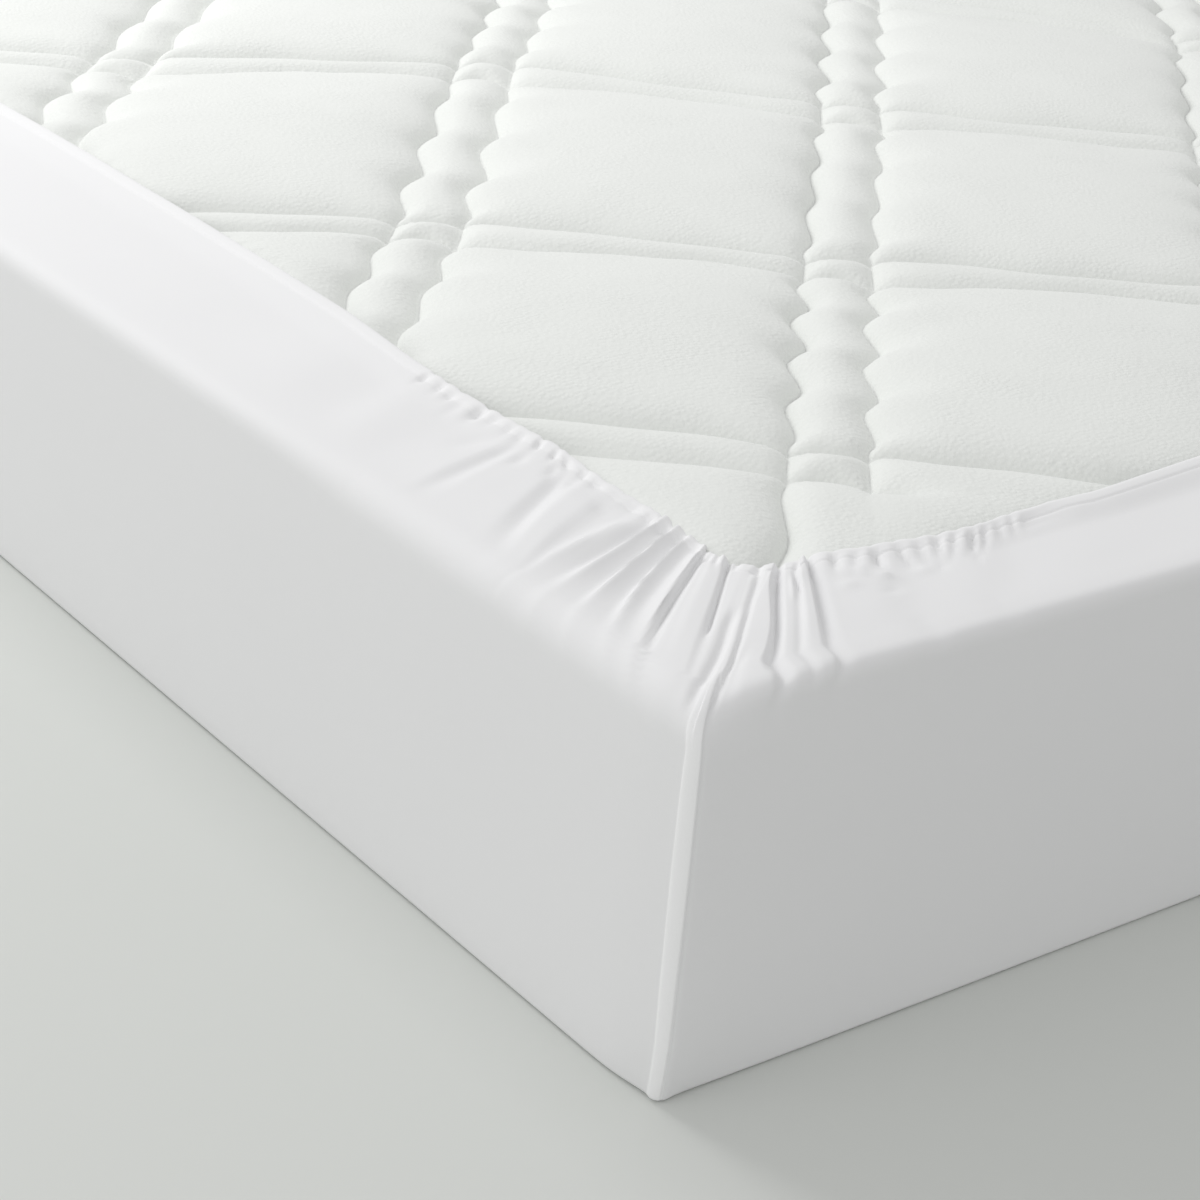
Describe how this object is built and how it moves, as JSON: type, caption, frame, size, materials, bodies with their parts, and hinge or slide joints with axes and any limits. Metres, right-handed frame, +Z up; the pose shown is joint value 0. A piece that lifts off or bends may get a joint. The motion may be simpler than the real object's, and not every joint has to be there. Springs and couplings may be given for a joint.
{
  "type": "fitted sheet on mattress",
  "caption": "White fitted sheet with gathered elastic corners, drawn over the rim of a quilted mattress that lies with its padded face up.",
  "frame": {"origin": "middle of the underside of the sheet's flat panel, on the surface that the part rests on", "axes": "+X along the mattress's length, +Y along its width, +Z up; the corner nearest the picture's camera is at -X -Y"},
  "size_m": [2.009, 1.609, 0.2065],
  "materials": {
    "sheet_cotton": "smooth white cotton, fine plain weave, matt",
    "mattress_knit": "padded off-white knit, fine raised grain, matt"
  },
  "bodies": {
    "root": {"fitted_sheet": "sheet_cotton", "mattress": "mattress_knit"}
  },
  "joints": []
}
